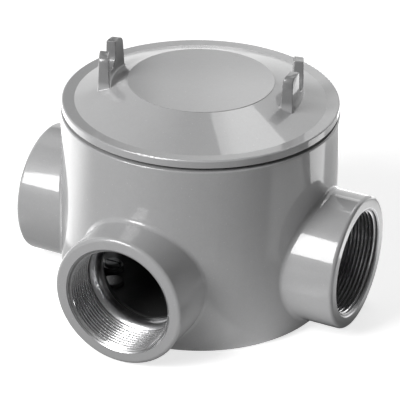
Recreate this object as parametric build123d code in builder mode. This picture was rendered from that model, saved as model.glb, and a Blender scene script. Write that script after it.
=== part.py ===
from build123d import *
from math import asin, degrees, hypot, radians, sqrt, tan
import os

os.makedirs("parts", exist_ok=True)

# Round explosion-proof junction box: one body casting with three threaded conduit hubs,
# a screwed cover with two notched wrench lugs, the cover's O-ring and a ground screw.
# Millimetres. The origin is the centre of the base, +Z is up, the through run is along X
# and the branch hub points along -Y.

# Body casting
body_height = 110.4
body_wall = 7.3
body_draft = 1.0
base_edge_radius = 4.0
rim_edge_radius = 0.8
floor_thickness = 8.0
floor_corner_radius = 6.0

# Conduit hubs, 2 inch pipe thread, with an integral bushing as the conduit stop
hub_base_clearance = 0.6
hub_wall = 7.35
hub_stand_out = 20.8
hub_edge_radius = 2.0
hub_root_fillet = 2.5
pipe_thread_radius = 30.05
pipe_thread_length = 22.4
pipe_mouth_chamfer = 0.8
bushing_step = 1.15
bushing_lip_length = 5.4
bushing_lip_rise = 2.7
bushing_land = 1.32
throat_edge_radius = 0.6
hub_directions = ((1, 0, 0), (-1, 0, 0), (0, -1, 0))

# Cover thread, 12 turns to the inch: the mouth's wall stands at the thread's major
# radius and the skirt's wall at its root, and the fine thread fills the space between
cover_thread_radius = 70.6
cover_thread_height = 1.3
cover_thread_length = 18.0

# Cover casting
cover_set_back = 0.6
cover_edge_height = 4.4
cover_edge_radius = 0.8
cover_lower_edge_radius = 0.5
rim_width = 6.9
rim_rise = 0.4
disc_radius = 40.1
disc_rise = 10.4
disc_step = 0.3
cover_wall = 7.0
skirt_end_clearance = 2.0
skirt_wall = 8.0
skirt_lead_chamfer = 1.2
cover_inner_fillet = 2.5

# Cover O-ring, squeezed flat between the flange and its seat in the body's mouth
flange_gap = 2.0
gasket_seat_depth = 1.2
gasket_width = 3.4
gasket_side_flat = 0.3
gasket_side_clearance = 0.1
gasket_face_clearance = 0.05
gasket_outer_clearance = 0.3

# Wrench lugs on the cover: a drafted wall along an arc, notched in the middle
lug_angle = 13.4
lug_set_off = 9.5
lug_thickness = 6.6
lug_half_chord = 16.5
lug_rise = 13.9
lug_root_depth = 1.6
lug_draft = 2.0
lug_notch_width = 13.0
lug_notch_floor = 0.4
prong_top_width = 2.9
lug_shoulder_drop = 6.0
lug_shoulder_radius = 2.5
lug_edge_radius = 0.5
lug_root_fillet = 0.8
on_cone_tolerance = 0.01

# Floor bosses, and the ground screw: a 10-32 screw with a cupped washer
boss_margin = 0.2
boss_height = 2.0
boss_edge_radius = 0.8
ground_boss_x = -42.0
ground_boss_y = -24.0
spare_boss_step_x = 7.0
spare_boss_step_y = -13.0
screw_radius = 2.4
screw_length = 6.4
screw_hole_clearance = 0.07
screw_hole_spare_depth = 1.0
screw_head_radius = 4.6
screw_head_height = 2.8
screw_head_dome_radius = 1.2
screw_slot_width = 1.2
screw_slot_depth = 1.4
screw_tip_chamfer = 0.4
washer_thickness = 0.9
washer_cup_height = 0.7
washer_cup_width = 0.8
washer_head_clearance = 0.4
washer_hole_clearance = 0.15

# Sizes that follow from those above: the body and its bores
cavity_radius = cover_thread_radius - cover_thread_height
body_top_radius = cavity_radius + body_wall
body_base_radius = body_top_radius + body_draft
hub_radius = pipe_thread_radius + hub_wall
hub_axis_height = hub_radius + hub_base_clearance
hub_reach = body_top_radius + hub_stand_out
bushing_radius = pipe_thread_radius - bushing_step
bushing_throat_radius = bushing_radius - bushing_lip_rise
bushing_face_distance = sqrt(cavity_radius**2 - (bushing_throat_radius + bushing_land) ** 2)
bushing_length = hub_reach - pipe_thread_length - bushing_face_distance
throat_depth = pipe_thread_length + bushing_length
gasket_seat_height = body_height - gasket_seat_depth
thread_end_height = gasket_seat_height - cover_thread_length

# The cover, its skirt and the O-ring
flange_height = body_height + flange_gap
rim_height = flange_height + cover_edge_height
valley_height = rim_height - rim_rise
disc_height = rim_height + disc_rise
cover_radius = body_top_radius - cover_set_back
rim_inner_radius = cover_radius - rim_width
skirt_radius = cover_thread_radius - cover_thread_height
skirt_length = flange_height - thread_end_height - skirt_end_clearance
gasket_inner_radius = skirt_radius + gasket_side_clearance
gasket_outer_radius = gasket_inner_radius + gasket_width
gasket_seat_radius = gasket_outer_radius + gasket_outer_clearance
gasket_height = flange_height - gasket_seat_height - 2 * gasket_face_clearance
gasket_corner_radius = (gasket_height - gasket_side_flat) / 2

# The lugs
lug_inner_radius = disc_radius + lug_set_off
lug_top_half_width = lug_notch_width / 2 + prong_top_width

# The ground screw on its boss
washer_radius = screw_head_radius + washer_head_clearance + washer_cup_width
boss_radius = washer_radius + boss_margin
boss_top_height = floor_thickness + boss_height
washer_top_height = boss_top_height + washer_thickness
ground_boss = (ground_boss_x, ground_boss_y)
spare_boss = (ground_boss_x + spare_boss_step_x, ground_boss_y + spare_boss_step_y)


with BuildPart() as housing:
    # Round body with draft on its side, as a solid of revolution. Its profile stands at the
    # back, where no hub is, so that no hub crosses the seam of its faces
    with BuildSketch(Plane.YZ) as blank:
        with BuildLine():
            Polyline(
                (0, 0),
                (body_base_radius, 0),
                (body_top_radius, body_height),
                (0, body_height),
                close=True,
            )
        make_face()
        base_corner = blank.vertices().group_by(Axis.Y)[0].sort_by(Axis.X)[-1]
        fillet(base_corner, base_edge_radius)
        top_corner = blank.vertices().group_by(Axis.Y)[-1].sort_by(Axis.X)[-1]
        fillet(top_corner, rim_edge_radius)
    revolve(axis=Axis.Z)

    # Wiring cavity, the bore of the cover thread and the O-ring's seat
    with BuildSketch(Plane.YZ) as cavity:
        with BuildLine():
            Polyline(
                (0, floor_thickness),
                (cavity_radius, floor_thickness),
                (cavity_radius, thread_end_height - (cover_thread_radius - cavity_radius)),
                (cover_thread_radius, thread_end_height),
                (cover_thread_radius, gasket_seat_height),
                (gasket_seat_radius, gasket_seat_height),
                (gasket_seat_radius, body_height),
                (0, body_height),
                close=True,
            )
        make_face()
        floor_corner = cavity.vertices().group_by(Axis.Y)[0].sort_by(Axis.X)[-1]
        fillet(floor_corner, floor_corner_radius)
    revolve(axis=Axis.Z, mode=Mode.SUBTRACT)

    # Conduit hubs through the wall, from a little way inside the cavity out to their faces,
    # blended into the body on the outside
    for direction in hub_directions:
        bushing_face = Vector(direction) * bushing_face_distance + Vector(0, 0, hub_axis_height)
        with BuildSketch(Plane(origin=bushing_face, z_dir=direction)):
            Circle(hub_radius)
        extrude(amount=throat_depth)
        outward = Axis(bushing_face, direction)
        hub_rim = housing.edges(Select.LAST).filter_by(GeomType.CIRCLE).sort_by(outward)[-1]
        fillet(hub_rim, hub_edge_radius)
    mid_wall_radius = cavity_radius + body_wall / 2
    hub_roots = housing.edges().filter_by(GeomType.BSPLINE)
    hub_roots = hub_roots.filter_by(lambda edge: hypot((edge @ 0.5).X, (edge @ 0.5).Y) > mid_wall_radius)
    fillet(hub_roots, hub_root_fillet)

    # The bore of each hub: mouth chamfer, thread, then the rounded lip and the throat of
    # the bushing
    for direction in hub_directions:
        hub_face = Vector(direction) * hub_reach + Vector(0, 0, hub_axis_height)
        with BuildSketch(Plane(origin=hub_face, x_dir=direction, z_dir=(0, 0, 1))):
            with BuildLine():
                Polyline(
                    (0, 0),
                    (0, pipe_thread_radius + pipe_mouth_chamfer),
                    (-pipe_mouth_chamfer, pipe_thread_radius),
                    (-pipe_thread_length, pipe_thread_radius),
                    (-pipe_thread_length, bushing_radius),
                )
                throat_start = (-pipe_thread_length - bushing_lip_length, bushing_throat_radius)
                TangentArc(throat_start, (-pipe_thread_length, bushing_radius), tangent=(1, 0))
                Polyline(
                    throat_start,
                    (-throat_depth, bushing_throat_radius),
                    (-throat_depth, 0),
                    (0, 0),
                )
            make_face()
        revolve(axis=Axis(hub_face, direction), mode=Mode.SUBTRACT)
        throat_rim = (
            housing.edges(Select.LAST).filter_by(GeomType.CIRCLE).sort_by(Axis(hub_face, direction))[0]
        )
        fillet(throat_rim, throat_edge_radius)

    # Two low bosses on the floor, the first one drilled for the ground screw
    with BuildSketch(Plane.XY.offset(floor_thickness)):
        with Locations(ground_boss, spare_boss):
            Circle(boss_radius)
    extrude(amount=boss_height)
    boss_rims = housing.edges(Select.LAST).filter_by(GeomType.CIRCLE).group_by(Axis.Z)[-1]
    fillet(boss_rims, boss_edge_radius)
    hole_depth = screw_length - washer_thickness + screw_hole_spare_depth
    with Locations((*ground_boss, boss_top_height)):
        Hole(screw_radius + screw_hole_clearance, depth=hole_depth)

housing.part.label = "housing"
export_step(housing.part, "parts/housing.step")


# The cover's conical part, between the flat disc and the rim
cone_slope = (disc_height - disc_step - valley_height) / (rim_inner_radius - disc_radius)


def cone_height(radius):
    """Height of the cover's conical top at a distance from the axis."""
    return valley_height + cone_slope * (rim_inner_radius - radius)


def on_cone(edge):
    """Whether an edge lies on the conical top, as the roots of the lugs do."""
    for point in (edge @ 0, edge @ 0.5, edge @ 1):
        radius = hypot(point.X, point.Y)
        if not disc_radius + on_cone_tolerance < radius < rim_inner_radius - on_cone_tolerance:
            return False
        if abs(point.Z - cone_height(radius)) > on_cone_tolerance:
            return False
    return True


lug_outer_radius = lug_inner_radius + lug_thickness
lug_foot_height = cone_height(lug_outer_radius) - lug_root_depth
lug_top_height = disc_height + lug_rise
shoulder_height = lug_top_height - lug_shoulder_drop
shoulder_half_width = lug_half_chord - tan(radians(lug_draft)) * (shoulder_height - lug_foot_height)
notch_centre_height = disc_height + lug_notch_floor + lug_notch_width / 2
plan_half_chord = lug_half_chord + lug_thickness
lug_inner_sweep = degrees(asin(plan_half_chord / lug_inner_radius))
lug_outer_sweep = degrees(asin(plan_half_chord / lug_outer_radius))

with BuildPart() as lug:
    # The wall in plan, over length, tapered towards its top
    with BuildSketch(Plane.XY.offset(lug_foot_height)):
        with BuildLine():
            outer_arc = CenterArc((0, 0), lug_outer_radius, -lug_outer_sweep, 2 * lug_outer_sweep)
            inner_arc = CenterArc((0, 0), lug_inner_radius, lug_inner_sweep, -2 * lug_inner_sweep)
            Line(outer_arc @ 1, inner_arc @ 0)
            Line(inner_arc @ 1, outer_arc @ 0)
        make_face()
    extrude(amount=lug_top_height - lug_foot_height, taper=lug_draft)
    # The outline seen from outside trims it: drafted ends, sloping shoulders and the notch
    with BuildSketch(Plane.YZ) as outline:
        with BuildLine():
            Polyline(
                (lug_half_chord, lug_foot_height),
                (shoulder_half_width, shoulder_height),
                (lug_top_half_width, lug_top_height),
                (-lug_top_half_width, lug_top_height),
                (-shoulder_half_width, shoulder_height),
                (-lug_half_chord, lug_foot_height),
                close=True,
            )
        make_face()
        fillet(outline.vertices().group_by(Axis.Y)[1], lug_shoulder_radius)
        with Locations((0, notch_centre_height)):
            Circle(lug_notch_width / 2, mode=Mode.SUBTRACT)
            Rectangle(
                lug_notch_width,
                lug_top_height,
                align=(Align.CENTER, Align.MIN),
                mode=Mode.SUBTRACT,
            )
    extrude(amount=cover_radius, mode=Mode.INTERSECT)
    exposed = lug.edges().filter_by(lambda edge: edge.center().Z > lug_foot_height + lug_root_depth)
    fillet(exposed, lug_edge_radius)


skirt_inner_radius = skirt_radius - skirt_wall
ceiling_edge_height = cone_height(skirt_inner_radius) - cover_wall

with BuildPart() as cover:
    # Flat disc, cone, raised rim and the threaded skirt, as a solid of revolution
    with BuildSketch(Plane.XZ) as section:
        with BuildLine():
            Polyline(
                (0, disc_height),
                (disc_radius, disc_height),
                (disc_radius, disc_height - disc_step),
                (rim_inner_radius, valley_height),
                (cover_radius, rim_height),
                (cover_radius, flange_height),
                (skirt_radius, flange_height),
                (skirt_radius, flange_height - skirt_length),
                (skirt_inner_radius, flange_height - skirt_length),
                (skirt_inner_radius, ceiling_edge_height),
                (disc_radius, disc_height - disc_step - cover_wall),
                (0, disc_height - disc_step - cover_wall),
                close=True,
            )
        make_face()
        outer_corners = section.vertices().group_by(Axis.X)[-1].sort_by(Axis.Y)
        fillet(outer_corners[-1], cover_edge_radius)
        fillet(outer_corners[0], cover_lower_edge_radius)
        skirt_end = section.vertices().group_by(Axis.Y)[0].sort_by(Axis.X)
        chamfer(skirt_end[-1], skirt_lead_chamfer)
        ceiling_corner = section.vertices().sort_by_distance((skirt_inner_radius, ceiling_edge_height))[0]
        fillet(ceiling_corner, cover_inner_fillet)
    revolve(axis=Axis.Z)

    # The two lugs face each other, blended into the cone at their roots
    with PolarLocations(0, 2, start_angle=lug_angle):
        add(lug.part)
    fillet(cover.edges().filter_by(on_cone), lug_root_fillet)

cover.part.label = "cover"
export_step(cover.part, "parts/cover.step")


with BuildPart() as cover_gasket:
    # The ring in section, squeezed flat between the flange and the seat
    with BuildSketch(Plane.XZ):
        with Locations((gasket_inner_radius + gasket_width / 2, (flange_height + gasket_seat_height) / 2)):
            RectangleRounded(gasket_width, gasket_height, gasket_corner_radius)
    revolve(axis=Axis.Z)

cover_gasket.part.label = "cover_gasket"
export_step(cover_gasket.part, "parts/cover_gasket.step")


with BuildPart() as ground_washer:
    # Flat ring with its outer edge turned up into a cup, which keeps the wire in
    with BuildSketch(Plane.XY.offset(boss_top_height)):
        with Locations(ground_boss):
            Circle(washer_radius)
    extrude(amount=washer_thickness + washer_cup_height)
    with BuildSketch(Plane.XY.offset(washer_top_height)):
        with Locations(ground_boss):
            Circle(washer_radius - washer_cup_width)
    extrude(amount=washer_cup_height, mode=Mode.SUBTRACT)
    with Locations((*ground_boss, washer_top_height)):
        Hole(screw_radius + washer_hole_clearance)

ground_washer.part.label = "ground_washer"
export_step(ground_washer.part, "parts/ground_washer.step")


with BuildPart() as ground_screw:
    # Round slotted head over the washer, and the shank down into the boss
    with BuildSketch(Plane.XY.offset(washer_top_height)):
        with Locations(ground_boss):
            Circle(screw_head_radius)
    extrude(amount=screw_head_height)
    head_rim = ground_screw.edges().filter_by(GeomType.CIRCLE).sort_by(Axis.Z)[-1]
    fillet(head_rim, screw_head_dome_radius)
    with BuildSketch(Plane.XY.offset(washer_top_height + screw_head_height)):
        with Locations(ground_boss):
            Rectangle(2 * screw_head_radius, screw_slot_width)
    extrude(amount=-screw_slot_depth, mode=Mode.SUBTRACT)
    with BuildSketch(Plane.XY.offset(washer_top_height)):
        with Locations(ground_boss):
            Circle(screw_radius)
    extrude(amount=-screw_length)
    screw_tip = ground_screw.edges().filter_by(GeomType.CIRCLE).sort_by(Axis.Z)[0]
    chamfer(screw_tip, screw_tip_chamfer)

ground_screw.part.label = "ground_screw"
export_step(ground_screw.part, "parts/ground_screw.step")
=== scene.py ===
"""Round explosion-proof junction box with three threaded conduit hubs and a screwed cover."""

import math

import bmesh
import bpy
from mathutils import Matrix, Vector


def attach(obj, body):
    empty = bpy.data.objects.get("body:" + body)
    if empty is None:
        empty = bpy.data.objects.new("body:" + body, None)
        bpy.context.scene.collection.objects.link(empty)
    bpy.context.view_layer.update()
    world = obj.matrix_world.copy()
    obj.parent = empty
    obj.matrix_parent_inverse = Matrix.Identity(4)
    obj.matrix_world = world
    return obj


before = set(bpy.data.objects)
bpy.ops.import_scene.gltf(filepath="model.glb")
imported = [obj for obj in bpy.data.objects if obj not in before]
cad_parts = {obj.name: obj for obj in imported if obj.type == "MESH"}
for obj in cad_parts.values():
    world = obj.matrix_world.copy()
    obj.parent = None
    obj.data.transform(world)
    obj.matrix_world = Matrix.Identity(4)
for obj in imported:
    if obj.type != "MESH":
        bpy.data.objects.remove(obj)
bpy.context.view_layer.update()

# The camera stands in front of the box and to its right, above the cover, and looks down on it
# through a long lens. Its place is worked out from the outlines of the rims in the photograph.
camera_azimuth = math.radians(25.64)
camera_elevation = math.radians(28.67)
camera_roll = math.radians(1.04)
camera_distance = 1.16004
camera_offset = (0.00049, -0.00809)
camera_aim_height = 0.0616
camera_lens = 186.56
camera_sensor = 36.0
camera_near = 0.05
camera_far = 50.0


def add_object(name, data):
    """A new object with this data, in the scene."""
    added = bpy.data.objects.new(name, data)
    bpy.context.scene.collection.objects.link(added)
    return added


camera_back = Vector((
    math.sin(camera_azimuth) * math.cos(camera_elevation),
    -math.cos(camera_azimuth) * math.cos(camera_elevation),
    math.sin(camera_elevation),
))
level_right = Vector((math.cos(camera_azimuth), math.sin(camera_azimuth), 0))
level_up = camera_back.cross(level_right)
camera_right = level_right * math.cos(camera_roll) + level_up * math.sin(camera_roll)
camera_up = level_up * math.cos(camera_roll) - level_right * math.sin(camera_roll)
camera_place = Vector((0, 0, camera_aim_height)) + camera_distance * camera_back
camera_place += camera_offset[0] * camera_right + camera_offset[1] * camera_up

camera = add_object("camera", bpy.data.cameras.new("camera"))
camera.data.lens = camera_lens
camera.data.sensor_width = camera_sensor
camera.data.clip_start = camera_near
camera.data.clip_end = camera_far
camera_turn = Matrix((camera_right, camera_up, camera_back)).transposed()
camera.matrix_world = Matrix.Translation(camera_place) @ camera_turn.to_4x4()
bpy.context.scene.camera = camera


# The body is one aluminium sand casting: a drafted round pot with three conduit hubs. It is
# sprayed with grey enamel outside and in, and the bores of the hubs and of the mouth are
# machined afterwards, so they are bare metal.
class Shade:
    """A socket in a material's node tree. Arithmetic on it adds Math nodes to that tree."""

    def __init__(self, tree, socket=None):
        self.tree = tree
        self.socket = socket

    def node(self, kind, settings=None, inputs=None, output=0):
        """Adds a node: its settings come first, then the values or links of its sockets."""
        node = self.tree.nodes.new(kind)
        for name, value in (settings or {}).items():
            setattr(node, name, value)
        for key, value in (inputs or {}).items():
            if isinstance(key, int):
                socket = node.inputs[key]
            else:
                socket = next(s for s in node.inputs if s.name == key and s.enabled)
            if isinstance(value, Shade):
                self.tree.links.new(value.socket, socket)
            else:
                socket.default_value = value
        if isinstance(output, int):
            found = [s for s in node.outputs if s.enabled][output]
        else:
            found = node.outputs[output]
        return Shade(self.tree, found)

    def maths(self, operation, *values):
        return self.node("ShaderNodeMath", {"operation": operation}, dict(enumerate(values)))

    def __add__(self, other):
        return self.maths("ADD", self, other)

    def __radd__(self, other):
        return self.maths("ADD", other, self)

    def __sub__(self, other):
        return self.maths("SUBTRACT", self, other)

    def __rsub__(self, other):
        return self.maths("SUBTRACT", other, self)

    def __mul__(self, other):
        return self.maths("MULTIPLY", self, other)

    def __rmul__(self, other):
        return self.maths("MULTIPLY", other, self)

    def __truediv__(self, other):
        return self.maths("DIVIDE", self, other)

    def __gt__(self, other):
        return self.maths("GREATER_THAN", self, other)

    def __lt__(self, other):
        return self.maths("LESS_THAN", self, other)

    def power(self, exponent):
        return self.maths("POWER", self, exponent)

    def absolute(self):
        return self.maths("ABSOLUTE", self)

    def at_least(self, other):
        return self.maths("MAXIMUM", self, other)

    def ramp(self, low, high):
        """0 below low, 1 above high, and smooth between them."""
        settings = {"interpolation_type": "SMOOTHSTEP"}
        inputs = {"Value": self, "From Min": low, "From Max": high}
        return self.node("ShaderNodeMapRange", settings, inputs)

    def window(self, rise, fall):
        """1 between two pairs of edges and 0 outside them, smooth from one edge to the other."""
        return self.ramp(*rise) * (1 - self.ramp(*fall))

    def scale(self, low, high):
        """The value low where this value is 0, and the value high where it is 1."""
        return low + (high - low) * self

    def mix(self, low, high):
        """The colour low where this value is 0, and the colour high where it is 1."""
        return self.node("ShaderNodeMix", {"data_type": "RGBA"}, {"Factor": self, "A": low, "B": high})

    def cool_grey(self, blue):
        """A grey colour of this level, with its blue raised by the factor given."""
        return self.node("ShaderNodeCombineColor", None, {"Red": self, "Green": self, "Blue": self * blue})

    def place(self):
        """The point's place in the object's own coordinates, in metres."""
        return self.node("ShaderNodeTexCoord", None, None, "Object")

    def split(self):
        """The x, y and z of this place as three values."""
        return [self.node("ShaderNodeSeparateXYZ", None, {"Vector": self}, axis) for axis in "XYZ"]

    def noise(self, size, detail=2.0, rough=0.5, stretch=None):
        """Noise at this place whose blotches are about size metres across, from 0 to 1."""
        place = self
        if stretch:
            place = self.node("ShaderNodeVectorMath", {"operation": "MULTIPLY"}, {0: self, 1: stretch})
        inputs = {"Vector": place, "Scale": 1 / size, "Detail": detail, "Roughness": rough}
        return self.node("ShaderNodeTexNoise", None, inputs)

    def bump(self, distance, normal=None):
        """The normal of a surface raised by this value times distance, on top of another normal."""
        inputs = {"Height": self, "Distance": distance, "Strength": 1.0}
        if normal is not None:
            inputs["Normal"] = normal
        return self.node("ShaderNodeBump", None, inputs)


def new_material(name, **constants):
    """A material with a Principled shader, whose constant sockets are set here."""
    material = bpy.data.materials.new(name)
    material.use_nodes = True
    shader = material.node_tree.nodes["Principled BSDF"]
    for socket, value in constants.items():
        shader.inputs[socket.replace("_", " ")].default_value = value
    return material, Shade(material.node_tree), shader


def feed(material, shader, **links):
    """Links what varies over the surface to the shader's sockets."""
    for socket, value in links.items():
        material.node_tree.links.new(value.socket, shader.inputs[socket.replace("_", " ")])


def grey(level, tint=0.0):
    """A linear grey, a touch cooler for a positive tint."""
    return (level * (1 - tint), level, level * (1 + tint), 1.0)


def distance(across, along):
    """The distance from an axis, from the two coordinates square to it."""
    return (across * across + along * along).power(0.5)


def dress(piece, material):
    """Gives a solid of the CAD model this material alone."""
    piece.data.materials.clear()
    piece.data.materials.append(material)


# The paint's level is a plain share plus what the clouds, the mottle and the grain add to it.
paint_level = 0.36
paint_plain = 0.84
paint_clouds = 0.12
paint_mottle = 0.07
paint_grain = 0.20
paint_blue = 1.01
paint_roughness = (0.30, 0.42)
coat_roughness = 0.06
coat_index = 1.5
cloud_size = 0.045
mottle_size = 0.004
grain_size = 0.0007

# Nibs are specks of dust that the spray has covered. Their bumps are real, and their lighter colour is a
# painted glint.
nibs_per_metre = 260.0
nib_edge = (0.03, 0.09)
nib_glint_level = 0.72
nib_glint_strength = 0.35
nib_height = 0.00004

# The sprayed skin is wavy from the sand mould and has a fine orange peel.
wave_size = 0.012
wave_height = 0.00014
peel_size = 0.0016
peel_height = 0.00004

bare_level = (0.62, 0.84)
bare_blue = 1.015
bare_roughness = (0.22, 0.42)
scratch_size = 0.0005


def enamelled_casting(name, bare_zone, painted_shade_zone):
    """Grey enamel on a sand casting, bare metal where bare_zone is 1, and darkened with painted shade by
    the second zone.
    """
    material, shade, shader = new_material(name, Coat_Roughness=coat_roughness, Coat_IOR=coat_index)
    place = shade.place()
    bare = bare_zone(place)

    clouds = place.noise(cloud_size, detail=3.0)
    mottle = place.noise(mottle_size, detail=3.0, rough=0.6)
    grain = place.noise(grain_size, rough=0.7)
    level = paint_plain + paint_clouds * clouds + paint_mottle * mottle + paint_grain * grain
    # The second zone darkens the paint as painted shade.
    paint = (paint_level * level * (1 - painted_shade_zone(place))).cool_grey(paint_blue)

    specks = place.node("ShaderNodeTexVoronoi", None, {"Vector": place, "Scale": nibs_per_metre})
    nibs_and_glints = 1 - specks.ramp(*nib_edge)
    # The nibs are lighter than the paint, as painted glints.
    paint = (nibs_and_glints * nib_glint_strength).mix(paint, grey(nib_glint_level))

    scratches = place.noise(scratch_size, rough=0.6)
    metal = scratches.scale(*bare_level).cool_grey(bare_blue)

    skin = place.noise(wave_size).bump(wave_height)
    skin = place.noise(peel_size, rough=0.55).bump(peel_height, skin)
    skin = nibs_and_glints.bump(nib_height, skin)
    feed(
        material,
        shader,
        Base_Color=bare.mix(paint, metal),
        Roughness=mottle.scale(*paint_roughness) * (1 - bare) + scratches.scale(*bare_roughness) * bare,
        Metallic=bare,
        Coat_Weight=1 - bare,
        Normal=skin,
    )
    return material


# The bores of the hubs and of the mouth are bare inside these radii, and the cavity is darkened with
# painted shade.
hub_axis_height = 0.038
hub_bore_zone = 0.0310
hub_bore_start = 0.0665
mouth_zone_radius = 0.0712
mouth_zone_low = 0.0900
mouth_zone_high = 0.1094
cavity_zone_radius = 0.0700
cavity_zone_low = 0.0075
cavity_zone_high = 0.1095
cavity_painted_shade = 0.9


def housing_bare_zone(place):
    """The bores of the hubs and of the mouth."""
    x, y, z = place.split()
    height = z - hub_axis_height
    in_run = (distance(y, height) < hub_bore_zone) * (x.absolute() > hub_bore_start)
    in_branch = (distance(x, height) < hub_bore_zone) * (y < -hub_bore_start)
    in_mouth = (distance(x, y) < mouth_zone_radius) * (z > mouth_zone_low) * (z < mouth_zone_high)
    return in_run.at_least(in_branch).at_least(in_mouth)


def housing_painted_shade_zone(place):
    """The cavity, whose enamel is darkened with painted shade."""
    x, y, z = place.split()
    inside = (distance(x, y) < cavity_zone_radius) * (z > cavity_zone_low) * (z < cavity_zone_high)
    return inside * cavity_painted_shade


dress(
    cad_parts["housing"],
    enamelled_casting("grey_enamel_body", housing_bare_zone, housing_painted_shade_zone),
)


# The threads are cut in the bare casting. Each is a thin sleeve with the real helix on its open
# side, let into the wall that carries it: pipe thread in the hubs, fine thread at the mouth.
flank_slope = math.tan(math.radians(30))
thread_bedding = 0.0003
thread_stand_off = 0.0001
thread_edge_angle = 25
height_steps_per_metre = 1e7


def solid_object(name, vertices, faces, edge_angle):
    """An object from a closed mesh, shaded smooth up to edge_angle degrees between its faces."""
    mesh = bpy.data.meshes.new(name)
    mesh.from_pydata(vertices, [], faces)
    form = bmesh.new()
    form.from_mesh(mesh)
    bmesh.ops.recalc_face_normals(form, faces=form.faces)
    for face in form.faces:
        face.smooth = True
    for edge in form.edges:
        edge.smooth = edge.calc_face_angle(0) < math.radians(edge_angle)
    form.to_mesh(mesh)
    form.free()
    return add_object(name, mesh)


def thread_sleeve(name, wall_radius, crest_radius, pitch, low, high, crest_flat, fades, steps):
    """A closed ring around Z, one side of which is a right-hand thread with 60 degree flanks."""
    out = 1 if crest_radius > wall_radius else -1
    root_radius = wall_radius + out * thread_stand_off
    back_radius = wall_radius - out * thread_bedding
    depth = abs(crest_radius - root_radius)
    flank = depth * flank_slope / pitch
    crest = crest_flat / pitch
    root = 1 - crest - 2 * flank
    outline = [(0, 0), (root, 0), (root + flank, 1), (root + flank + crest, 1), (1, 0)]

    def on_ring(radius, step, z):
        angle = 2 * math.pi * step / steps
        return (radius * math.cos(angle), radius * math.sin(angle), z)

    def fade(z):
        """The thread rises from nothing at both ends of the sleeve."""
        start = min(1, max(0, (z - low) / fades[0]))
        end = min(1, max(0, (high - z) / fades[1]))
        return min(start, end)

    vertices = []
    known = {}

    def corner(step, z, rise):
        """The number of the vertex at this step and height, which is made if it is new."""
        z = min(high, max(low, z))
        key = (step % steps, round(z * height_steps_per_metre))
        if key not in known:
            known[key] = len(vertices)
            vertices.append(on_ring(root_radius + out * depth * rise * fade(z), step % steps, z))
        return known[key]

    faces = []
    turns = math.ceil((high - low) / pitch) + 2
    for step in range(turns * steps):
        for part in range(len(outline) - 1):
            ring = []
            for forward, offset in ((0, 0), (1, 0), (1, 1), (0, 1)):
                share, rise = outline[part + offset]
                z = low + pitch * ((step + forward) / steps - 1 + share - 1)
                ring.append(corner(step + forward, z, rise))
            ring = list(dict.fromkeys(ring))
            if len(ring) > 2:
                faces.append(ring)

    first_back = len(vertices)
    for z in (low, high):
        vertices.extend(on_ring(back_radius, step, z) for step in range(steps))
    for step in range(steps):
        after = (step + 1) % steps
        low_back, low_after = first_back + step, first_back + after
        high_back, high_after = low_back + steps, low_after + steps
        faces.append([low_back, low_after, high_after, high_back])
        faces.append([corner(step, low, 0), corner(after, low, 0), low_after, low_back])
        faces.append([high_back, high_after, corner(after, high, 0), corner(step, high, 0)])
    return solid_object(name, vertices, faces, thread_edge_angle)


# Cut metal is brightest on its tool rings, and darker and rougher where it is torn. Its thread roots are
# rougher, and darkened with painted shade.
cut_metallic = 0.86
cut_level = (0.60, 0.90)
cut_blue = 1.01
cut_roughness = (0.10, 0.24)
ring_size = 0.0004
ring_stretch = (0.12, 0.12, 1.0)
ring_height = 0.000006
chatter_size = 0.0011
torn_edge = (0.60, 0.68)
torn_loss = 0.35
torn_roughness = 0.3
torn_height = 0.00002
painted_root_shade_edge = (0.25, 0.95)
painted_root_shade_level = (0.50, 1.0)
grime_rough_edge = (0.3, 0.9)
grime_roughness = 0.25


def cut_metal(name, tear, root_radius, crest_radius):
    """Bare aluminium off the tool: bright crests, roots darkened with painted shade, cutter rings and torn
    spots.
    """
    material, shade, shader = new_material(name, Metallic=cut_metallic)
    place = shade.place()
    x, y, z = place.split()
    rise = (distance(x, y) - root_radius) / (crest_radius - root_radius)
    rings = place.noise(ring_size, rough=0.7, stretch=ring_stretch)
    torn = place.noise(chatter_size, detail=3.0, rough=0.7).ramp(*torn_edge) * tear
    # Painted shade darkens the thread roots.
    level = (rings.scale(*cut_level) - torn_loss * torn) * rise.ramp(*painted_root_shade_edge).scale(*painted_root_shade_level)
    grime = grime_roughness * (1 - rise.ramp(*grime_rough_edge))
    feed(
        material,
        shader,
        Base_Color=level.cool_grey(cut_blue),
        Roughness=rings.scale(*cut_roughness) + torn_roughness * torn + grime,
        Normal=torn.bump(torn_height, rings.bump(ring_height)),
    )
    return material


pipe_pitch = 0.0254 / 11.5
pipe_wall_radius = 0.03005
pipe_crest_radius = 0.02865
pipe_thread_low = 0.0752
pipe_thread_high = 0.0968
pipe_crest_flat = 0.00055
pipe_fades = (0.0012, 0.0014)
pipe_steps = 144
pipe_tear = 1.0
pipe_thread_metal = cut_metal("cut_pipe_thread", pipe_tear, pipe_wall_radius, pipe_crest_radius)

for hub, direction in (("right", (1, 0, 0)), ("left", (-1, 0, 0)), ("front", (0, -1, 0))):
    hub_thread = thread_sleeve(
        f"hub_thread_{hub}",
        pipe_wall_radius,
        pipe_crest_radius,
        pipe_pitch,
        pipe_thread_low,
        pipe_thread_high,
        pipe_crest_flat,
        pipe_fades,
        pipe_steps,
    )
    hub_turn = Vector((0, 0, 1)).rotation_difference(Vector(direction)).to_matrix().to_4x4()
    hub_thread.matrix_world = Matrix.Translation((0, 0, hub_axis_height)) @ hub_turn
    hub_thread.data.materials.append(pipe_thread_metal)
    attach(hub_thread, "body")

fine_pitch = 0.0254 / 12
fine_crest_flat = 0.00025
fine_fades = (0.001, 0.001)
fine_steps = 180
fine_tear = 0.3
fine_thread_high = 0.1091
mouth_wall_radius = 0.0706
mouth_crest_radius = 0.0695
mouth_thread_low = 0.0913


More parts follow.
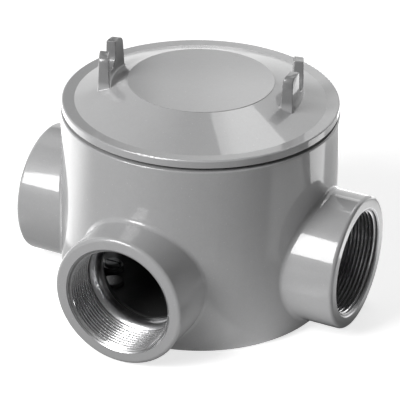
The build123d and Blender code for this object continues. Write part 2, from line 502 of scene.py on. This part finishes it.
def fine_thread(place, wall_radius, crest_radius, low):
    """One half of the cover's thread, at the mouth or on the skirt, in its own cut metal."""
    sleeve = thread_sleeve(
        f"{place}_thread",
        wall_radius,
        crest_radius,
        fine_pitch,
        low,
        fine_thread_high,
        fine_crest_flat,
        fine_fades,
        fine_steps,
    )
    sleeve.data.materials.append(cut_metal(f"cut_{place}_thread", fine_tear, wall_radius, crest_radius))
    return sleeve


mouth_thread = fine_thread("mouth", mouth_wall_radius, mouth_crest_radius, mouth_thread_low)
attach(mouth_thread, "body")


# The cover is a second casting in the same enamel: a flat disc, a cone, a raised rim and two
# notched lugs for a bar. Its skirt is turned, so it is bare metal below the flange.
flange_height = 0.1123
skirt_bare_radius = 0.0685
# The hollow under the cover and the lugs above their foot are darkened with painted shade.
hollow_radius = 0.0620
hollow_height = 0.1180
hollow_painted_shade = 0.9
lug_zone_inner = 0.0490
lug_zone_outer = 0.0568
lug_zone_foot = (0.1235, 0.1275)
lug_painted_shade = 0.42


def cover_bare_zone(place):
    """The skirt."""
    x, y, z = place.split()
    return (distance(x, y) > skirt_bare_radius) * (z < flange_height)


def cover_painted_shade_zone(place):
    """The hollow under the cover, and the lugs above their foot, both darkened with painted shade."""
    x, y, z = place.split()
    reach = distance(x, y)
    hollow = (reach < hollow_radius) * (z < hollow_height) * hollow_painted_shade
    lugs = (reach > lug_zone_inner) * (reach < lug_zone_outer) * z.ramp(*lug_zone_foot) * lug_painted_shade
    return hollow.at_least(lugs)


cover_finish = enamelled_casting("grey_enamel_cover", cover_bare_zone, cover_painted_shade_zone)
dress(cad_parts["cover"], cover_finish)


# Each lug has two prongs with a notch between them, cast in one with the cover. Their outer
# shoulders are fuller and rounder than the solid's, so each prong gets a shoulder piece in the
# cover's enamel, laid on the sloping one and let into it.
lug_angle = 13.4
shoulder_foot = 0.11947
shoulder_inner_radius = 0.0496
shoulder_outer_radius = 0.0562
shoulder_draft = math.tan(math.radians(2.0))
shoulder_skin = 0.00002
shoulder_edge_round = 0.0005
shoulder_edge_angle = 40
shoulder_bed = (Vector((0.0078, 0.1400)), Vector((0.0152, 0.1332)))

# The outline runs along the lug, from the level top round the corner and down the end. Each point
# is its distance from the lug's middle and its height.
shoulder_outline = [Vector(point) for point in (
    (0.0080, 0.14108), (0.0100, 0.14108), (0.0120, 0.14106), (0.0128, 0.14102), (0.0135, 0.14084),
    (0.0142, 0.14050), (0.0148, 0.14000), (0.0152, 0.13945), (0.01552, 0.13880), (0.01572, 0.13810),
    (0.01580, 0.13740), (0.01585, 0.13640), (0.01588, 0.13520), (0.01592, 0.13400),
)]


def lug_shoulder(name, turn, side):
    """The shoulder of one prong: a cross-section at each point of the outline, joined up."""
    count = len(shoulder_outline)
    vertices = []
    for step, edge in enumerate(shoulder_outline):
        before = shoulder_outline[max(step - 1, 0)]
        after = shoulder_outline[min(step + 1, count - 1)]
        along = (after - before).normalized()
        inward = Vector((along.y, -along.x))
        section = [(shoulder_bed[0].lerp(shoulder_bed[1], step / (count - 1)), 0.0)]
        for turned in (90, 60, 30, 0):
            angle = math.radians(turned)
            inset = shoulder_edge_round * (1 - math.cos(angle))
            section.append((edge + inward * inset, shoulder_edge_round * (1 - math.sin(angle))))
        walls = ((shoulder_inner_radius, 1, section), (shoulder_outer_radius, -1, section[::-1]))
        for wall, sign, points in walls:
            for (chord, height), depth in points:
                draft = shoulder_draft * (height - shoulder_foot)
                radius = wall + sign * (draft + shoulder_skin + depth)
                vertices.append(turn @ Vector((math.sqrt(radius ** 2 - chord ** 2), side * chord, height)))

    size = len(vertices) // count
    faces = [list(range(size)), list(range((count - 1) * size, count * size))]
    for step in range(count - 1):
        for place in range(size):
            near, far = step * size + place, step * size + (place + 1) % size
            faces.append([near, far, far + size, near + size])
    return solid_object(name, vertices, faces, shoulder_edge_angle)


for lug, angle in (("right", lug_angle), ("left", lug_angle + 180)):
    for end, side in (("a", 1), ("b", -1)):
        lug_turn = Matrix.Rotation(math.radians(angle), 3, "Z")
        shoulder = lug_shoulder(f"lug_shoulder_{lug}_{end}", lug_turn, side)
        shoulder.data.materials.append(cover_finish)
        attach(shoulder, "screwed_cover")


# The outer half of the fine thread is cut on the cover's skirt and turns and rises with it. It
# ends above the chamfer at the skirt's lower end.
skirt_wall_radius = 0.0693
skirt_crest_radius = 0.0704
skirt_thread_low = 0.0945

skirt_thread = fine_thread("skirt", skirt_wall_radius, skirt_crest_radius, skirt_thread_low)
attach(skirt_thread, "screwed_cover")


# The O-ring is black moulded rubber, a little dusty. It is stretched over the skirt and lies
# under the flange, in the seat that is cut into the mouth.
rubber_index = 1.45
rubber_level = 0.012
rubber_dust_level = 0.035
rubber_dust_edge = (0.5, 0.8)
rubber_roughness = (0.5, 0.8)
rubber_dust_size = 0.003
rubber_pore_size = 0.0005
rubber_pore_height = 0.00001

rubber, shade, shader = new_material("black_rubber", IOR=rubber_index)
place = shade.place()
dust = place.noise(rubber_dust_size, detail=3.0, rough=0.6)
feed(
    rubber,
    shader,
    Base_Color=dust.ramp(*rubber_dust_edge).mix(grey(rubber_level), grey(rubber_dust_level)),
    Roughness=dust.scale(*rubber_roughness),
    Normal=place.noise(rubber_pore_size).bump(rubber_pore_height),
)
dress(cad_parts["cover_gasket"], rubber)


# The ground screw and its cupped washer are steel with a dull zinc plate, whose colour is darkened further
# with painted shade. The screw is driven into the boss on the body's floor and holds the washer down.
zinc_dull_level_with_painted_shade = 0.20
zinc_bright_level_with_painted_shade = 0.36
zinc_tint = 0.02
zinc_roughness = (0.38, 0.68)
zinc_bloom_size = 0.0015
zinc_line_size = 0.0003
zinc_line_height = 0.000006

# The zinc's levels are darker than bare zinc, as painted shade of the cavity.
zinc, shade, shader = new_material("zinc_plate_with_painted_shade", Metallic=1.0)
place = shade.place()
bloom = place.noise(zinc_bloom_size, detail=3.0, rough=0.6)
feed(
    zinc,
    shader,
    Base_Color=bloom.mix(grey(zinc_dull_level_with_painted_shade, zinc_tint), grey(zinc_bright_level_with_painted_shade, zinc_tint)),
    Roughness=bloom.scale(*zinc_roughness),
    Normal=place.noise(zinc_line_size, rough=0.7).bump(zinc_line_height),
)
dress(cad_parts["ground_screw"], zinc)
dress(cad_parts["ground_washer"], zinc)


# The floor is plain pale paper, which the camera sees and the box throws its shadow on. Its own
# glow keeps it near white at the plain level of the lamps.
floor_half = 20.0
floor_drop = 0.0002
paper_level = 0.80
paper_glow = 0.66


def staged(name, corners):
    """A flat stage piece with one face."""
    mesh = bpy.data.meshes.new(name)
    mesh.from_pydata(corners, [], [tuple(range(len(corners)))])
    piece = add_object(name, mesh)
    return piece


def level_square(half, height):
    """The corners of a level square around the middle of the stage."""
    return [(x * half, y * half, height) for x, y in ((-1, -1), (1, -1), (1, 1), (-1, 1))]


def bare_tree(owner):
    """An empty node tree for a material or a world."""
    owner.use_nodes = True
    owner.node_tree.nodes.clear()
    return Shade(owner.node_tree)


def finish_tree(shade, kind, surface):
    """Adds the tree's output node and links the surface to it."""
    shade.tree.links.new(surface.socket, shade.tree.nodes.new(kind).inputs["Surface"])


floor = staged("floor", level_square(floor_half, -floor_drop))
floor.visible_glossy = False
floor.visible_diffuse = False
paper = bpy.data.materials.new("pale_paper")
shade = bare_tree(paper)
matt = shade.node("ShaderNodeBsdfDiffuse", None, {"Color": grey(paper_level)})
glow = shade.node("ShaderNodeEmission", None, {"Color": grey(1.0), "Strength": paper_glow})
finish_tree(shade, "ShaderNodeOutputMaterial", shade.node("ShaderNodeAddShader", None, {0: matt, 1: glow}))
floor.data.materials.append(paper)


# What the box mirrors below it is a lit sweep just under the floor, which the camera doesn't see.
# It is bright behind a soft line that passes under the body, and dim in front of that line,
# where reflectors light a few patches of the table.
sweep_drop = 0.001
line_start = 0.006
line_slope = 0.343
line_bend = 0.09
line_softness = (0.003, 0.061)
line_soft_zone = (-0.02, 0.06)
line_edges = (-1.3, 0.55)
far_glow = (1.0, 2.5)
far_zone = (0.30, 0.60)
table_glow = (0.05, 0.45)
table_zone = (-0.07, 0.10)

# Two parts of the sweep are darker: a strip to the left of the body, and the body's shadow,
# which falls back and to the right.
left_shade_loss = 0.9
left_shade_across = (-0.122, -0.112), (-0.080, -0.072)
left_shade_along = (-0.020, 0.010)
shadow_loss = 0.75
shadow_direction = (0.469, 0.883)
shadow_offset = 0.005
shadow_edge = (0.062, 0.080)
shadow_reach = (0.0, 0.02), (0.24, 0.34)

# Each lit patch fills a range across the table, in x, and one along it, in y.
side_glow = 0.7
side_across = (0.042, 0.070), (0.073, 0.077)
side_along = (-0.20, -0.12), (-0.076, -0.064)
face_glow = (0.75, 1.60)
face_glow_zone = (0.05, 0.11)
face_across = (0.097, 0.104), (0.150, 0.162)
face_along = (-0.010, 0.030), (0.13, 0.15)
flank_glow = 0.8
flank_across = (0.150, 0.170), (0.26, 0.32)
flank_along = (-0.07, -0.04), (0.06, 0.09)

# The light that the sweep gives to matt surfaces is set apart from what gloss mirrors of it.
near_light = (0.22, 0.44)
near_light_zone = (-0.10, 0.10)
far_light = 0.5
bounce_light = 1.3
bounce_across = (0.035, 0.065), (0.11, 0.15)
bounce_along = (-0.20, -0.10), (-0.05, -0.03)


def hide_from_camera(piece):
    """Leaves a stage piece to be mirrored only, with no sight and no shadow of its own."""
    piece.visible_camera = False
    piece.visible_shadow = False


def sees(shade, ray):
    """1 for rays of this kind and 0 for all others."""
    return shade.node("ShaderNodeLightPath", None, None, ray)


sweep = staged("lit_sweep", level_square(floor_half, -sweep_drop))
hide_from_camera(sweep)
lit_paper = bpy.data.materials.new("lit_paper")
shade = bare_tree(lit_paper)
x, y, z = shade.place().split()
leftward = 0 - x
past_line = y - line_slope * x - line_bend * x.at_least(0.0) - line_start
softness = leftward.ramp(*line_soft_zone).scale(*line_softness)
left_shade = x.window(*left_shade_across) * (1 - y.ramp(*left_shade_along))
behind = (past_line / softness).ramp(*line_edges) * (1 - left_shade_loss * left_shade)
lit = (1 - distance(x, y).ramp(*far_zone)).scale(*far_glow)

shadow_across = (shadow_direction[1] * x - shadow_direction[0] * y - shadow_offset).absolute()
shadow_along = shadow_direction[0] * x + shadow_direction[1] * y
shadow = (1 - shadow_across.ramp(*shadow_edge)) * shadow_along.window(*shadow_reach)

side_patch = x.window(*side_across) * y.window(*side_along)
table = leftward.ramp(*table_zone).scale(*table_glow) + side_glow * side_patch
mirrored = table * (1 - behind) + lit * behind * (1 - shadow_loss * shadow)
face_patch = x.window(*face_across) * y.window(*face_along)
mirrored = mirrored.at_least(face_patch * y.ramp(*face_glow_zone).scale(*face_glow))
flank_patch = x.window(*flank_across) * y.window(*flank_along)
mirrored = mirrored.at_least(flank_glow * flank_patch)

lighting = x.ramp(*near_light_zone).scale(*near_light) * (1 - behind) + far_light * behind
lighting = lighting + bounce_light * x.window(*bounce_across) * y.window(*bounce_along)
strength = mirrored * sees(shade, "Is Glossy Ray") + lighting * sees(shade, "Is Diffuse Ray")
sweep_light = shade.node("ShaderNodeEmission", None, {"Strength": strength})
finish_tree(shade, "ShaderNodeOutputMaterial", sweep_light)
sweep.data.materials.append(lit_paper)


# The backdrop is a cloth that stands behind the box, out of the camera's sight. Its foot is about
# as bright as the sweep before it, and above that its middle, left and right are lit apart.
backdrop_azimuth = -154
backdrop_away = 0.70
backdrop_half_width = 1.2
backdrop_height = 2.4
foot_edge = (0.325, 0.365)
foot_glow = 1.15
cloth_glow = 0.05
middle_range = (-0.075, -0.02), (0.20, 0.30)
middle_glow = (1.75, 2.65)
middle_glow_zone = (-0.02, 0.05)
left_glow = 0.85
left_zone = (0.08, 0.32)
left_height = (0.25, 0.34), (1.2, 2.2)
right_glow = 1.4
right_zone = (0.20, 0.35)
cloth_light_share = 0.3

# The middle's brightness changes three times on the way up, by so much and between two heights.
middle_changes = ((-0.60, 0.36, 0.42), (0.28, 0.437, 0.468), (-0.68, 0.48, 0.56))


def toward(azimuth, elevation):
    """The unit vector at an azimuth, counted from the front to the right, and an elevation."""
    azimuth = math.radians(azimuth)
    elevation = math.radians(elevation)
    level = math.cos(elevation)
    return Vector((math.sin(azimuth) * level, -math.cos(azimuth) * level, math.sin(elevation)))


away = toward(backdrop_azimuth, 0)
sideways = Vector((away.y, -away.x, 0))
backdrop = staged("backdrop", [
    away * backdrop_away + sideways * share * backdrop_half_width + Vector((0, 0, height))
    for share, height in ((-1, 0), (1, 0), (1, backdrop_height), (-1, backdrop_height))
])
hide_from_camera(backdrop)
lit_cloth = bpy.data.materials.new("lit_cloth")
shade = bare_tree(lit_cloth)
x, y, z = shade.place().split()
across = x * sideways.x + y * sideways.y
foot = 1 - z.ramp(*foot_edge)
middle = across.window(*middle_range)
bands = 1
for change, low, high in middle_changes:
    bands = bands + change * z.ramp(low, high)
upper = cloth_glow + middle * bands * across.ramp(*middle_glow_zone).scale(*middle_glow)
upper = upper + right_glow * across.ramp(*right_zone)
upper = upper + left_glow * (0 - across).ramp(*left_zone) * z.window(*left_height)
cloth = upper * (1 - foot) + foot_glow * foot
seen = sees(shade, "Is Glossy Ray") + cloth_light_share * sees(shade, "Is Diffuse Ray")
cloth_light = shade.node("ShaderNodeEmission", None, {"Strength": cloth * seen})
finish_tree(shade, "ShaderNodeOutputMaterial", cloth_light)
backdrop.data.materials.append(lit_cloth)


# The studio's dim walls close it in all round. The camera doesn't see them, but the white
# surroundings beyond them.
wall_radius = 6.0
wall_glow = 0.14

walls_mesh = bpy.data.meshes.new("studio_walls")
form = bmesh.new()
bmesh.ops.create_icosphere(form, subdivisions=4, radius=wall_radius)
form.to_mesh(walls_mesh)
form.free()
walls = add_object("studio_walls", walls_mesh)
hide_from_camera(walls)
dim_wall = bpy.data.materials.new("dim_wall")
shade = bare_tree(dim_wall)
wall_light = shade.node("ShaderNodeEmission", None, {"Strength": wall_glow})
finish_tree(shade, "ShaderNodeOutputMaterial", wall_light)
walls_mesh.materials.append(dim_wall)

surroundings = bpy.data.worlds.new("surroundings")
bpy.context.scene.world = surroundings
shade = bare_tree(surroundings)
finish_tree(shade, "ShaderNodeOutputWorld", shade.node("ShaderNodeBackground", None, {"Color": grey(1.0)}))


# Two soft boxes light the object: a large one to the left of the camera, and a weaker one
# overhead and behind. The camera doesn't see them, but the enamel mirrors them.
studio_centre = Vector((0, 0, 0.06))

# Name, azimuth, elevation, distance, width, height, radiance and roll
soft_boxes = (
    ("key_box", -25, 35.5, 0.95, 0.40, 0.58, 12.0, 0),
    ("overhead_box", 178.4, 61.3, 0.97, 0.34, 0.40, 3.0, 63.2),
)
for name, azimuth, elevation, reach, width, height, radiance, roll in soft_boxes:
    direction = toward(azimuth, elevation)
    light = bpy.data.lights.new(name, "AREA")
    light.shape = "RECTANGLE"
    light.size = width
    light.size_y = height
    light.energy = radiance * math.pi * width * height
    lamp = add_object(name, light)
    lamp.location = studio_centre + reach * direction
    aim = direction.to_track_quat("Z", "Y").to_matrix() @ Matrix.Rotation(math.radians(roll), 3, "Z")
    lamp.rotation_euler = aim.to_euler()
    lamp.visible_camera = False

bpy.context.scene.view_settings.view_transform = "Standard"
